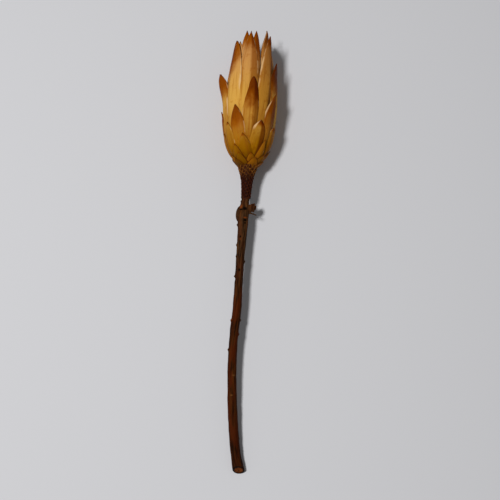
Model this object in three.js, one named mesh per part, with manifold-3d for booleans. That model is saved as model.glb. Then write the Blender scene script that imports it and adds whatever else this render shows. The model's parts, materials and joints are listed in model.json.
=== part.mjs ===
// A dried protea bloom, closed like a bud, on its cut woody stem. It lies on a surface at z = 0
// with its head toward +Y. Millimetres and degrees, +Z up.
import * as THREE from "three";
import { mergeVertices } from "three/addons/utils/BufferGeometryUtils.js";
import Module from "manifold-3d";

const wasm = await Module();
wasm.setup();

// The head's outline, turned about its own axis
const HEAD_BASE = [-0.3, 56.1, 16.35];
const HEAD_RISE = 2.9;
const HEAD_TURN = 2.7;
const HEAD_LENGTH = 102;
const NECK_RADIUS = 6.9;
const HEAD_RADIUS = 19.2;
const WIDEST_AT = 43;
const MOUTH_RADIUS = 10.6;

// The bracts, from the lowest scale on the neck to the innermost one, each a golden angle further round
const BRACTS = 54;
const GOLDEN_ANGLE = 137.508;
const FIRST_AZIMUTH = 229.8;
const LAYER_STEP = 0.13;
const BRACT_THICKNESS = 0.8;
const EDGE_THICKNESS = 0.6;
const KEEL_HEIGHT = 0.9;
const ROOT_SPAN = 20;
const ROOT_SINK = 1.6;
const SMALL_BRACTS = 18;

// Pairs of a bract's number and its size, with straight steps between them
const TIP_HEIGHTS = [
  [0, 3], [12, 9], [20, 20], [25, 30], [28, 40], [33, 64], [36, 88], [40, 96.5], [53, 99.5],
];
const BRACT_WIDTHS = [[0, 8], [12, 11], [18, 12.5], [20, 12.5], [25, 12], [36, 13.5], [44, 12.5], [53, 9]];
const TAPER_LENGTHS = [[0, 6], [12, 12], [20, 15], [25, 13], [40, 22], [53, 20]];

// Shares of a bract's width at its root and of its length in its taper, again by its number
const ROOT_WIDTHS = [[0, 1.2], [20, 0.95], [26, 0.62]];
const TAPER_LIMITS = [[0, 0.95], [20, 0.9], [26, 0.75]];

// The power that shapes a tip, blunter when lower, and the length from which a keel has its full height
const TIP_POWER = 0.85;
const KEEL_LENGTH = 30;

// Bracts that depart from the rule: turned round the head, longer, leaning round it, of another
// width, taper or tip, flared outward at the tip or twisted to face up
const SINGLE_BRACTS = {
  7: { turn: 9, rise: 1 },
  12: { turn: -9, rise: -1.8, lean: 10, width: 8.5 },
  15: { turn: -1, rise: -0.2, lean: -3, width: 10.5 },
  17: { turn: -2.5, rise: 0.9, lean: 1.5, width: 7.5, taper: 14 },
  18: { turn: 2.5, rise: 5.6, lean: -15.5, width: 8.6, taper: 5 },
  20: { turn: -3.7, rise: -0.2, lean: 8.5, width: 12.5 },
  22: { turn: 0.5, rise: 3.2, lean: 8.5, width: 7.8, taper: 5 },
  23: { turn: 0, rise: 3.2, lean: -6.5, width: 11.7, taper: 13.3 },
  25: { turn: 1.5, rise: -0.4, lean: -5, width: 11.8, taper: 8.5 },
  26: { turn: -13.5, rise: 6, lean: -13.5, width: 12.4, taper: 8.7, flare: 1.6 },
  28: { turn: -4, rise: 0.4, lean: 6.5, width: 12, taper: 15.6 },
  30: { turn: 6, rise: 0, lean: -5, width: 13.7, taper: 22, flare: 3.2 },
  31: { turn: -4, rise: 11, lean: -5.5, width: 16.2, taper: 36.5, flare: 6.4, twist: 1.5 },
  33: { turn: 4.9, rise: -2.9, lean: -7.6, width: 12.8, taper: 31.7, point: 0.58 },
  35: { turn: 9, rise: -4.4, lean: 7.5, width: 16.2, taper: 22, flare: 2.8 },
  36: { turn: -5.8, rise: 2.4, lean: 7.7, width: 15.3, taper: 35.3, flare: 2.2, point: 0.52 },
  38: { turn: 14, rise: 2.3, lean: -29.5, width: 12.3, taper: 38, flare: 3.4 },
  41: { turn: -6.3, rise: 0.4, lean: -2.8, width: 14.9, taper: 31.9, point: 0.92 },
  43: { rise: -5.5 },
  44: { turn: -18, rise: -7.5 },
  45: { rise: -10 },
  46: { turn: 9.7, rise: -0.3, lean: -3.9, width: 7.8, taper: 22.5, point: 0.74 },
  47: { rise: -4.5 },
  48: { rise: -3 },
  49: { turn: -7.1, rise: -0.9, lean: -7.1, width: 11.1, taper: 20.7, point: 0.93 },
  51: { turn: -3, rise: 1.6, lean: -11.7, width: 16.9, taper: 33.2, flare: -0.2, point: 1.02 },
  52: { rise: -6 },
  53: { rise: -8 },
};

// The woody cup that the bracts are rooted in, as heights on the head's axis, and how proud it stands
const CUP_HEIGHTS = [0, 2, 5, 9, 14, 20.5];
const CUP_PROUD = 0.3;

// The dried florets that fill the cup of bracts: a core, with its outline above its seat on the cup,
// and stiff needles that lean out from it
const SEAT_GAP = 0.3;
const CORE_OUTLINE = [[0, 8], [8, 8.6], [29, 8.2], [37, 5]];
const FLORETS = 46;
const FLORET_LENGTH = 30;
const FLORET_RADIUS = 1.1;
const FLORET_TIP_RADIUS = 0.5;
const FLORET_TOP = 76;
const FLORET_FALL = 8;
const FLORET_UNEVENNESS = 3;
const FLORET_SPREAD = { foot: 5.3, top: 10.2 };

// The stem's middle line from its cut end to the head, and its radius by distance along that line
const STEM_ROUTE = [
  [-6.2, -154.9, 3.7], [-8.1, -144, 4.9], [-10.1, -120.8, 7.6], [-10.8, -93.4, 10.6],
  [-10.3, -73.4, 12.2], [-9, -58.2, 13.1], [-7.5, -45.8, 13.6], [-5.9, -17.8, 14.3],
  [-3.8, 10.6, 14.6], [-3.2, 21.6, 14.8], [-1.7, 32.1, 15.1], [-1.1, 39.6, 15.5], [-0.25, 57.2, 16.4],
];
const STEM_GIRTHS = [
  [-2.5, 4.15], [0, 4.05], [4, 3.75], [11, 3.4], [34, 3.3], [55, 3.15], [82, 3], [97, 3.05], [110, 3.05],
  [130, 2.9], [152, 3], [166, 3.4], [172, 3.75], [178, 3.95], [183, 3.55], [188, 2.9],
  [195, 3.2], [202, 3.8], [206.5, 5], [211.6, 6.9], [213, 7.2],
];
const STEM_SIDES = 12;
const CUT_SLANT = 27;
const CUT_CENTRE = [-6.2, -154.08, 3.7];

// The old branching on the stem: a swelling, and what is left of a side shoot
const SWELLING = { centre: [-5, 21.8, 14.7], size: [3.4, 6.4, 3.7] };
const SPLINTERS = [
  { from: [-1.3, 25.6, 15], to: [5.8, 27.6, 15.6], root: 1.6, tip: 1.2 },
  { from: [-1.3, 24.8, 15], to: [5.2, 24.2, 14.7], root: 1.7, tip: 1.3 },
  { from: [-1.4, 23, 14.7], to: [5.7, 21, 14.3], root: 0.7, tip: 0.45 },
];

// Leaf scars: distance along the stem and the side they stand on, 0 right, 90 top, 180 left
const LEAF_SCARS = [
  [195, 10], [190, 175], [187, 168], [170, 178], [157, 172], [147, 168], [144, 5], [137, 250],
  [133, 172], [118, 300], [102, 175], [102, 15], [92, 10], [82, 182], [70, 280], [64, 80],
  [50, 95], [38, 225], [22, 330],
];
const SCAR_SIZE = [1.1, 1.7, 0.55];
const SCAR_SINK = 0.1;

// Small dry scales where the stem widens into the head, each a low four-sided cone that leans back
const NECK_SCALES = 34;
const NECK_SCALE_RADIUS = 1.35;
const NECK_SCALE_HEIGHT = 1.55;
const NECK_SCALE_LEAN = -25;
const NECK_SCALE_SINK = 0.1;
const NECK_LENGTH = 9.5;
const NECK_END = 3;

// Slivers under this size, left where pieces cross, are closed up
const SMALLEST_EDGE = 0.03;

const radians = THREE.MathUtils.degToRad;

// A repeatable number between 0 and 1 for each copy of a piece
function vary(copy, use) {
  const wave = Math.sin(copy * 12.9898 + use * 78.233) * 43758.5453;
  return wave - Math.floor(wave);
}

// The second number of the pairs, at a place between their first numbers
function between(pairs, place) {
  const found = pairs.findIndex(([at]) => at >= place);
  const next = found < 0 ? pairs.length - 1 : Math.max(1, found);
  const [[low, from], [high, to]] = [pairs[next - 1], pairs[next]];
  return from + (to - from) * THREE.MathUtils.clamp((place - low) / (high - low), 0, 1);
}

function solid(geometry) {
  const bare = geometry.clone();
  bare.deleteAttribute("normal");
  bare.deleteAttribute("uv");
  const merged = mergeVertices(bare, 1e-4);
  const triVerts = new Uint32Array(merged.index.array);
  const vertProperties = merged.attributes.position.array;
  return new wasm.Manifold(new wasm.Mesh({ numProp: 3, vertProperties, triVerts }));
}

// Joined solids as one body: a hollow that fusing seals is filled, and a loose scrap is dropped
function fuse(solids) {
  const joined = solids.reduce((whole, piece) => whole.add(piece));
  const body = joined.decompose().reduce((most, next) => (next.volume() > most.volume() ? next : most));
  return body.simplify(SMALLEST_EDGE);
}

function geometryOf(manifold) {
  const { vertProperties, triVerts } = manifold.getMesh();
  const geometry = new THREE.BufferGeometry();
  geometry.setAttribute("position", new THREE.BufferAttribute(vertProperties, 3));
  geometry.setIndex(new THREE.BufferAttribute(triVerts, 1));
  geometry.computeVertexNormals();
  return geometry;
}

// A thin closed leaf from its root to its pointed tip, split into triangles alike on both faces.
// place gives the point across it from -1 to 1, along it from 0 to 1, on face 0 outside or 1 inside.
function blade(place, rows, columns) {
  const points = [];
  const triangles = [];
  for (const side of [0, 1]) {
    for (let row = 0; row < rows; row++) {
      for (let column = 0; column <= columns; column++) {
        points.push(place((2 * column) / columns - 1, 1 - (1 - row / rows) ** 1.4, side));
      }
    }
  }
  const facePoints = rows * (columns + 1);
  points.push(place(0, 1, 0), place(0, 1, 1));
  const at = (side, row, column) =>
    row < rows ? side * facePoints + row * (columns + 1) + column : 2 * facePoints + side;
  const triangle = (a, b, c) => {
    if (a !== b && b !== c && a !== c) triangles.push(a, b, c);
  };
  const quad = (a, b, c, d) => {
    triangle(a, b, c);
    triangle(a, c, d);
  };
  for (let row = 0; row < rows; row++) {
    for (let column = 0; column < columns; column++) {
      const [a, b, c, d] = [[0, 0], [0, 1], [1, 1], [1, 0]].map(([up, right]) => [row + up, column + right]);
      quad(at(0, ...a), at(0, ...b), at(0, ...c), at(0, ...d));
      triangle(at(1, ...a), at(1, ...c), at(1, ...b));
      triangle(at(1, ...a), at(1, ...d), at(1, ...c));
    }
    quad(at(0, row, 0), at(0, row + 1, 0), at(1, row + 1, 0), at(1, row, 0));
    quad(at(0, row + 1, columns), at(0, row, columns), at(1, row, columns), at(1, row + 1, columns));
  }
  for (let column = 0; column < columns; column++) {
    quad(at(0, 0, column + 1), at(0, 0, column), at(1, 0, column), at(1, 0, column + 1));
  }
  return new THREE.BufferGeometry().setFromPoints(points).setIndex(triangles);
}

// A lathed shape with its axis on +Y, from pairs of a height and a radius, flat at both ends
function turned(pairs, sides) {
  const profile = pairs.map(([height, radius]) => new THREE.Vector2(radius, height));
  profile.unshift(new THREE.Vector2(0, pairs[0][0]));
  profile.push(new THREE.Vector2(0, pairs.at(-1)[0]));
  return new THREE.LatheGeometry(profile, sides);
}

// A rod that narrows from its root to its tip, between two points
function splinter({ from, to, root, tip }, sides = 5) {
  const start = new THREE.Vector3(...from);
  const way = new THREE.Vector3(...to).sub(start);
  const rod = new THREE.CylinderGeometry(tip, root, way.length(), sides).translate(0, way.length() / 2, 0);
  const turn = new THREE.Quaternion().setFromUnitVectors(new THREE.Vector3(0, 1, 0), way.normalize());
  return rod.applyQuaternion(turn).translate(...from);
}

// A smooth lump of the given half sizes
function lump(size) {
  return new THREE.IcosahedronGeometry(1, 1).scale(...size);
}

// Radius of the head's outer surface at a height on its axis
function envelope(height) {
  if (height < WIDEST_AT) {
    const below = 1 - Math.max(height, 0) / WIDEST_AT;
    return NECK_RADIUS + (HEAD_RADIUS - NECK_RADIUS) * (1 - below ** 2.6) ** 0.7;
  }
  const above = (height - WIDEST_AT) / (HEAD_LENGTH - WIDEST_AT);
  return HEAD_RADIUS - (HEAD_RADIUS - MOUTH_RADIUS) * above ** 1.65;
}

// Number of the bract whose tip comes to the surface at a height, and of the one rooted there
const tipPairs = TIP_HEIGHTS.map(([bract, height]) => [height, bract]);
const bractEndingAt = (height) => between(tipPairs, height);
const rootHeight = (bract) => ROOT_SPAN * (bract / (BRACTS - 1)) ** 1.2 - 0.5;
const bractRootedAt = (height) => (BRACTS - 1) * ((height + 0.5) / ROOT_SPAN) ** (1 / 1.2);

// Radius of a bract's layer at a height: the outermost bract is on the envelope, the rest lie under it
function layerRadius(bract, height) {
  return envelope(height) - LAYER_STEP * Math.max(0, bract - bractEndingAt(height));
}

// The point at a radius and azimuth round the head's axis, which is local +Y
function onHead(radius, azimuth, height) {
  return new THREE.Vector3(radius * Math.cos(azimuth), height, radius * Math.sin(azimuth));
}

function bract(number) {
  const own = {
    turn: 0,
    rise: 1.6 * (vary(number, 1) - 0.5),
    lean: 8 * (vary(number, 2) - 0.5),
    flare: (0.3 + 0.8 * vary(number, 3)) * Math.min(1, number / SMALL_BRACTS),
    width: between(BRACT_WIDTHS, number),
    taper: between(TAPER_LENGTHS, number),
    twist: 0,
    point: TIP_POWER,
    ...SINGLE_BRACTS[number],
  };
  const base = Math.max(0, rootHeight(number) - ROOT_SINK);
  const length = between(TIP_HEIGHTS, number) + own.rise - base;
  const taper = Math.min(own.taper, between(TAPER_LIMITS, number) * length);
  const rootWidth = between(ROOT_WIDTHS, number);
  const keelHeight = KEEL_HEIGHT * Math.min(1, length / KEEL_LENGTH);
  const place = (across, along, side) => {
    const height = base + length * along;
    const curl = Math.max(0, (along - 0.55) / 0.45) ** 2;
    const rim = 1 - Math.abs(across);
    const thickness = EDGE_THICKNESS + (BRACT_THICKNESS - EDGE_THICKNESS) * rim * (1 - along);
    const keel = keelHeight * rim * Math.sin(Math.PI * Math.min(along + 0.15, 1)) ** 0.5;
    const middle = layerRadius(number, height) + own.flare * curl;
    const pointed = Math.sin((Math.PI / 2) * Math.min(1, ((1 - along) * length) / taper)) ** own.point;
    const widened = rootWidth + (1 - rootWidth) * Math.sin((Math.PI / 2) * Math.min(1, along / 0.5));
    const offset = (across * own.width * pointed * widened) / 2;
    const azimuth = radians(FIRST_AZIMUTH + GOLDEN_ANGLE * number + own.turn + own.lean * along);
    const radius = middle + keel - own.twist * offset * curl - side * thickness;
    return onHead(radius, azimuth - offset / middle, height);
  };
  return number < SMALL_BRACTS ? blade(place, 3, 2) : blade(place, 6, 4);
}

// The woody cup that every bract is rooted in
function receptacle() {
  const pairs = CUP_HEIGHTS.map((height) => {
    const rooted = Math.min(bractRootedAt(height), BRACTS - 1);
    return [height, layerRadius(rooted, height) + CUP_PROUD];
  });
  return turned(pairs, 16);
}

// One stiff floret: a three-sided needle that leans a little outward from the core
function floret(number) {
  const azimuth = radians(GOLDEN_ANGLE * number);
  const share = Math.sqrt((number + 0.5) / FLORETS);
  const top = FLORET_TOP - FLORET_FALL * share * share - FLORET_UNEVENNESS * vary(number, 4);
  const from = onHead(FLORET_SPREAD.foot * share, azimuth, top - FLORET_LENGTH).toArray();
  const to = onHead(FLORET_SPREAD.top * share, azimuth, top).toArray();
  return splinter({ from, to, root: FLORET_RADIUS, tip: FLORET_TIP_RADIUS }, 3);
}

function florets() {
  const seat = CUP_HEIGHTS.at(-1) + SEAT_GAP;
  const core = CORE_OUTLINE.map(([height, radius]) => [seat + height, radius]);
  const needles = Array.from({ length: FLORETS }, (_, number) => solid(floret(number)));
  return fuse([solid(turned(core, 12)), ...needles]);
}

function bracts() {
  const leaves = Array.from({ length: BRACTS }, (_, number) => solid(bract(number)));
  return fuse([solid(receptacle()), ...leaves]);
}

// The stem's middle line, with the frame of directions at a distance along it
const stemLine = new THREE.CatmullRomCurve3(STEM_ROUTE.map((point) => new THREE.Vector3(...point)));
const stemLength = stemLine.getLength();

function stemFrame(distance) {
  const along = THREE.MathUtils.clamp(distance, 0, stemLength);
  const forward = stemLine.getTangentAt(along / stemLength);
  const right = forward.clone().cross(new THREE.Vector3(0, 0, 1)).normalize();
  const up = right.clone().cross(forward);
  const place = stemLine.getPointAt(along / stemLength).addScaledVector(forward, distance - along);
  return new THREE.Matrix4().makeBasis(right, forward, up).setPosition(place);
}

// A shape made straight along +Y, bent along the stem's line
function bentOnStem(geometry) {
  const places = geometry.attributes.position;
  for (let index = 0; index < places.count; index++) {
    const point = new THREE.Vector3().fromBufferAttribute(places, index);
    const distance = point.y;
    places.setXYZ(index, ...point.setY(0).applyMatrix4(stemFrame(distance)));
  }
  return geometry;
}

// A piece set on the stem's surface: its own +Z points away from the stem, its +Y toward the head
function onStem(geometry, distance, azimuth, out) {
  const turn = new THREE.Matrix4().makeRotationY(radians(90 - azimuth));
  geometry.translate(0, 0, out).applyMatrix4(turn);
  return geometry.applyMatrix4(stemFrame(distance));
}

function stemRod() {
  const stretch = stemLength / STEM_GIRTHS.at(-1)[0];
  return bentOnStem(turned(STEM_GIRTHS.map(([at, radius]) => [at * stretch, radius]), STEM_SIDES));
}

function leafScar(distance, azimuth) {
  return onStem(lump(SCAR_SIZE), distance, azimuth, between(STEM_GIRTHS, distance) - SCAR_SINK);
}

function neckScale(number) {
  const share = (number + 0.5) / NECK_SCALES;
  const distance = stemLength - NECK_END - NECK_LENGTH * share;
  const cone = new THREE.ConeGeometry(NECK_SCALE_RADIUS, NECK_SCALE_HEIGHT, 4);
  cone.rotateX(radians(90 + NECK_SCALE_LEAN));
  const out = between(STEM_GIRTHS, distance) - NECK_SCALE_SINK;
  return onStem(cone, distance, FIRST_AZIMUTH - GOLDEN_ANGLE * (number + 1), out);
}

function stem() {
  const pieces = [
    stemRod(),
    lump(SWELLING.size).translate(...SWELLING.centre),
    ...SPLINTERS.map((piece) => splinter(piece)),
    ...LEAF_SCARS.map(([at, side]) => leafScar(at, side)),
    ...Array.from({ length: NECK_SCALES }, (_, number) => neckScale(number)),
  ];
  return fuse(pieces.map(solid)).subtract(solid(belowCut())).subtract(solid(aboveNeck()));
}

// What the cut takes off below the stem's end, slanting so that its face looks a little upward
function belowCut() {
  const block = new THREE.BoxGeometry(40, 20, 40).translate(0, -10, 0);
  return block.rotateX(radians(-CUT_SLANT)).translate(...CUT_CENTRE);
}

// The room of the head, which the stem ends under
function aboveNeck() {
  head.updateMatrixWorld(true);
  return new THREE.BoxGeometry(60, 40, 60).translate(0, 20 - SEAT_GAP, 0).applyMatrix4(head.matrixWorld);
}

// Everything below the surface that the bloom lies on, as seen from an object's own place
function belowSurface(object) {
  object.updateMatrixWorld(true);
  const block = new THREE.BoxGeometry(200, 500, 50).translate(0, 0, -25);
  return solid(block.applyMatrix4(object.matrixWorld.clone().invert()));
}

function part(name, form, holder, color, roughness) {
  const flat = form.subtract(belowSurface(holder));
  const mesh = new THREE.Mesh(
    geometryOf(flat),
    new THREE.MeshStandardMaterial({ color, roughness, metalness: 0 }),
  );
  mesh.name = name;
  holder.add(mesh);
}

const protea = new THREE.Group();
const head = new THREE.Group();
head.position.set(...HEAD_BASE);
head.rotation.set(radians(HEAD_RISE), 0, radians(-HEAD_TURN), "ZXY");
protea.add(head);
part("stem", stem(), protea, "#3a1f12", 0.6);
part("bracts", bracts(), head, "#a8702e", 0.4);
part("florets", florets(), head, "#8a6a45", 0.8);

export default protea;
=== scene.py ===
"""A dried protea bloom on its cut woody stem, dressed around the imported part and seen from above."""
import json
import math

import bmesh
import bpy
import numpy as np
from mathutils import Matrix, Vector

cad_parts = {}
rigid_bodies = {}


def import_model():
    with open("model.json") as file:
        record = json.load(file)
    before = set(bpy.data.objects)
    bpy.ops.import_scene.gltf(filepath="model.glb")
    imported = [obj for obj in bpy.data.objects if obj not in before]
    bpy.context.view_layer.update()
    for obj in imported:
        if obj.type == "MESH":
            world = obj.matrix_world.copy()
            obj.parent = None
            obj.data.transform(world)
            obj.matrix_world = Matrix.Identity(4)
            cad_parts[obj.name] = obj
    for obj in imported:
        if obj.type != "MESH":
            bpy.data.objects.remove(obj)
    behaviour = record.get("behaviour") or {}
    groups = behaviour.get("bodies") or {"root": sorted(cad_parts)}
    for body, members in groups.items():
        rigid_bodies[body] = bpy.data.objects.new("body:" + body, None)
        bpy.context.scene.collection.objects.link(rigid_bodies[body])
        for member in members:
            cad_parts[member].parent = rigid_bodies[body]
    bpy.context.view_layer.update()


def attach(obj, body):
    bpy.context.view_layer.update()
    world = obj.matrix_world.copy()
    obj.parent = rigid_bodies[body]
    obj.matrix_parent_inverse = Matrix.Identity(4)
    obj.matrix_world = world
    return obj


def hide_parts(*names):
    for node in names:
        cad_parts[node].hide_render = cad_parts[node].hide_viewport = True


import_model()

MM = 0.001
RADIANS = math.pi / 180

# The head's outline, turned about its own axis, in millimetres and degrees
HEAD_BASE = (-0.3, 56.1, 16.35)
HEAD_RISE = 2.9
HEAD_TURN = 2.7
HEAD_LENGTH = 102
NECK_RADIUS = 6.9
NECK_SLOPE = 0.4
HEAD_RADIUS = 19.2
WIDEST_AT = 43
MOUTH_RADIUS = 10.6

# The powers that shape the head's foot, its belly and the way it closes toward its mouth
FOOT_POWER = 0.7
BELLY_POWER = 2.6
CLOSING_POWER = 1.65

# The bracts, from the lowest scale to the innermost one, each a golden angle further round and a layer
# further in. The small ones come first, then the outer ones, and the rest are inner ones.
BRACTS = 54
SMALL_BRACTS = 18
OUTER_BRACTS = 36
GOLDEN_ANGLE = 137.508
FIRST_AZIMUTH = 229.8
LAYER_STEP = 0.13

# A bract's blade. Its rim and the start of its curl are shares of its half width and its length, and a
# blade shorter than the keel's length has a lower keel.
KEEL_HEIGHT = 1.0
KEEL_LENGTH = 30
KEEL_POWER = 1.2
BLADE_THICKNESS = 0.6
RIM_THICKNESS = 0.26
RIM_SHARE = 0.4
RIM_ROLL = 0.5
CURL_START = 0.55
TIP_POWER = 0.85
TIP_BLUNTNESS = 0.035

# Where the bracts are rooted on the head's axis, and how far their roots are sunk
ROOT_SPAN = 20
ROOT_POWER = 1.2
ROOT_START = 0.5
ROOT_SINK = 1.6
FOOT_DROP = 1.6

# Pairs of a bract's number and its value, with straight steps between them. Root widths are shares of
# the width, and taper limits shares of the length.
TIP_HEIGHTS = [(0, 3), (12, 9), (20, 20), (25, 30), (28, 40), (33, 64), (36, 88), (40, 96.5), (53, 99.5)]
SURFACE_HEIGHTS = TIP_HEIGHTS[:7] + [(53, 100)]
BRACT_WIDTHS = [(0, 8), (12, 11), (18, 12.5), (20, 12.5), (25, 12), (36, 13.5), (44, 12.5), (53, 9)]
TAPER_LENGTHS = [(0, 6), (12, 12), (20, 15), (25, 13), (40, 22), (53, 20)]
ROOT_WIDTHS = [(0, 1.2), (20, 0.95), (26, 0.62)]
TAPER_LIMITS = [(0, 0.95), (20, 0.9), (26, 0.75)]
BROWN_REACHES = [(0, 0.5), (17, 1), (24, 6), (36, 14), (53, 12)]

# Bracts that depart from the rule. Turn and lean are degrees round the head, at the root and gained on
# the way to the tip. Rise adds to the blade's length, and width, taper and point set its outline. Flare
# bends the tip outward, twist turns it to face up, and fold moves the keel off the middle. Brown is how
# far the browning reaches down from the tip, lop takes it further down on the left, and scorch darkens
# it. A side share darkens one side of the fold, partly as browning and partly as painted shade on the
# side turned from the lamp; tone warms the blade, and deep darkens all of it. A pale rim share, partly a
# worn margin and partly a painted highlight, lightens the right rim, or the left one where it is
# negative, at a given distance from the tip.
SINGLE_BRACTS = {
    5: dict(flare=-0.7),
    6: dict(flare=-0.7),
    7: dict(turn=9, rise=1),
    12: dict(turn=-9, rise=-1.8, lean=10, width=8.5),
    15: dict(turn=-1, rise=-0.2, lean=-3, width=10.5, tone=0.2, deep=0),
    17: dict(turn=-2.5, rise=0.9, lean=1.5, width=7.5, taper=14),
    18: dict(turn=2.5, rise=5.6, lean=-15.5, width=8.6, taper=5),
    20: dict(turn=-3.7, rise=-0.2, lean=8.5, width=12.5, brown=2, dusk=0.3, tone=0, deep=0.12),
    22: dict(turn=0.5, rise=3.2, lean=8.5, width=7.8, taper=5, brown=3, deep=0.5),
    23: dict(turn=0, rise=3.2, lean=-6.5, width=11.7, taper=13.3, brown=2),
    25: dict(turn=1.5, rise=-0.4, lean=-5, width=11.8, taper=8.5, fold=0.1,
             brown=4, scorch=0.5, dusk=0.95, deep=0, pale_rim_and_highlight=-1.4, pale_rim_and_highlight_at=0),
    26: dict(turn=-13.5, rise=6, lean=-13.5, width=12.4, taper=8.7, flare=1.6, brown=12),
    28: dict(turn=-4, rise=0.4, lean=6.5, width=12, taper=15.6, fold=0.1,
             brown=16, scorch=0.42, dusk=0.15, deep=0),
    30: dict(turn=6, rise=0, lean=-5, width=13.7, taper=22, flare=3.2, fold=-0.1,
             brown=21, scorch=0, dusk=0.3, deep=0.45, pale_rim_and_highlight=-1, pale_rim_and_highlight_at=11),
    31: dict(turn=-4, rise=11, lean=-5.5, width=16.2, taper=36.5, flare=6.4, twist=1.5,
             brown=15.5, scorch=0.3, dusk=0.1, pale_rim_and_highlight=1.25, pale_rim_and_highlight_at=24, lop=0.2),
    33: dict(turn=4.9, rise=-2.9, lean=-7.6, width=12.8, taper=31.7, point=0.58, fold=0.25,
             brown=21, scorch=0.62, dusk=0.75, deep=0.37),
    35: dict(turn=9, rise=-4.4, lean=7.5, width=16.2, taper=22, flare=2.8, brown=26, scorch=0.8),
    36: dict(turn=-5.8, rise=2.4, lean=7.7, width=15.3, taper=35.3, flare=2.2, point=0.52, fold=-0.15,
             brown=20, scorch=0.35, dusk=-0.4, tone=0, deep=0, pale_rim_and_highlight=1, pale_rim_and_highlight_at=33, lop=0.5),
    38: dict(turn=14, rise=2.3, lean=-29.5, width=12.3, taper=38, flare=3.4, point=0.74, fold=0.3,
             brown=8, scorch=0.2, dusk=0.7, deep=0.8, pale_rim_and_highlight=-1, pale_rim_and_highlight_at=23),
    41: dict(turn=-6.3, rise=0.4, lean=-2.8, width=14.9, taper=31.9, point=0.92, fold=0.17,
             brown=12, scorch=0.1, dusk=0.8, pale_rim_and_highlight=-1, pale_rim_and_highlight_at=28),
    43: dict(rise=-5.5),
    44: dict(turn=-18, rise=-7.2, lean=-5, brown=1, scorch=0, deep=0, dusk=0, tone=0),
    45: dict(rise=-10),
    46: dict(turn=9.7, rise=-0.3, lean=-3.9, width=7.8, taper=22.5, point=0.74,
             brown=19, scorch=0.25, dusk=0.6),
    47: dict(rise=-4.5),
    48: dict(rise=-3),
    49: dict(turn=-7.1, rise=-0.9, lean=-7.1, width=11.1, taper=20.7, point=0.93, brown=9, scorch=0.2),
    51: dict(turn=-3, rise=1.6, lean=-11.7, width=16.9, taper=33.2, flare=-0.2, point=0.84,
             brown=12, scorch=0.25),
    52: dict(rise=-6),
    53: dict(rise=-8),
}

# Heights on the head's axis over which the bracts turn olive, golden and tan
OLIVE_HEIGHTS = (-3, 19)
GOLDEN_HEIGHTS = (18, 52)
TAN_HEIGHTS = (52, 92)

# What is left of red, green and blue where one side of a bract is browned and in painted shade, and where a
# bract is stained, streaked or deep in colour
SIDE_BROWN_AND_SHADE = (0.5, 0.3, 0.08)
STAINED = (0.72, 0.5, 0.2)
STREAKED = (0.72, 0.56, 0.34)
DEEP = (0.6, 0.44, 0.18)

# The length of a pale stretch on a bract's rim, partly worn and partly a painted highlight, and of the dark
# cap at its tip
PALE_RIM_AND_HIGHLIGHT_LENGTH = 8
CAP_LENGTH = 2.2

# Small dry scales on the neck under the head: distance along the stem, length and width by number
NECK_SCALES = 124
NECK_SCALE_PLACES = [(0, 189), (50, 199.5), (123, 212)]
NECK_SCALE_LENGTHS = [(0, 2.4), (50, 2.9), (123, 3.7)]
NECK_SCALE_WIDTHS = [(0, 2.0), (50, 2.4), (123, 3.2)]

# How neck scales differ in size, the distances over which they turn paler toward the head, their taper
# and the middle of their hollow as shares of their length, and the form of their tips
SCALE_SIZES = (0.85, 1.15)
SCALES_PALE = (205, 211)
SCALE_TAPER = 0.65
SCALE_HOLLOW = 0.62
SCALE_TIP_POWER = 0.75
SCALE_BLUNTNESS = 0.08

# The cup that the bracts are rooted in, and the core and the florets that fill it
CUP_OUTLINE = [(-0.6, 5.2), (2, 7.4), (5, 9.6), (9, 11.6), (14, 13.2), (20.5, 14.2)]
CORE_OUTLINE = [(20.8, 8.0), (29, 8.6), (48, 8.2), (54, 6.8), (56, 4.5)]
CORE_RADIUS = 8.6
FLORETS = 640
FLORET_LENGTH = 34
FLORET_RADIUS = 0.42
FLORET_TOP = 76
FLORET_FALL = 8
FLORET_UNEVENNESS = 4

# The stem's middle line from its cut end to the head, and its radius by distance along that line
STEM_ROUTE = [
    (-6.2, -154.9, 3.7), (-8.1, -144, 4.9), (-10.1, -120.8, 7.6), (-10.8, -93.4, 10.6),
    (-10.3, -73.4, 12.2), (-9, -58.2, 13.1), (-7.5, -45.8, 13.6), (-5.9, -17.8, 14.3),
    (-3.8, 10.6, 14.6), (-3.2, 21.6, 14.8), (-1.7, 32.1, 15.1), (-1.1, 39.6, 15.5), (-0.25, 57.2, 16.4),
]
STEM_GIRTHS = [
    (-3, 4.15), (0, 4.05), (4, 3.75), (11, 3.4), (34, 3.3), (55, 3.15), (82, 3), (97, 3.05), (110, 3.05),
    (130, 2.9), (152, 3), (166, 3.4), (172, 3.75), (178, 3.9), (183, 3.4), (187, 2.7),
    (195, 3.1), (202, 3.65), (206.5, 4.7), (211.6, 6.4), (213, 6.7),
]

# More than any of these girths, because a curve in a node tree holds them as shares of it
GIRTH_RANGE = 10

# The slanting cut at the stem's end. The line runs on past it by a few steps, so that it cuts all round,
# and the bark's relief fades out over a small distance from it.
CUT_CENTRE = (-6.2, -154.08, 3.7)
CUT_SLANT = 27
STEPS_PAST_CUT = 6
CUT_FADE = 0.8

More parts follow.
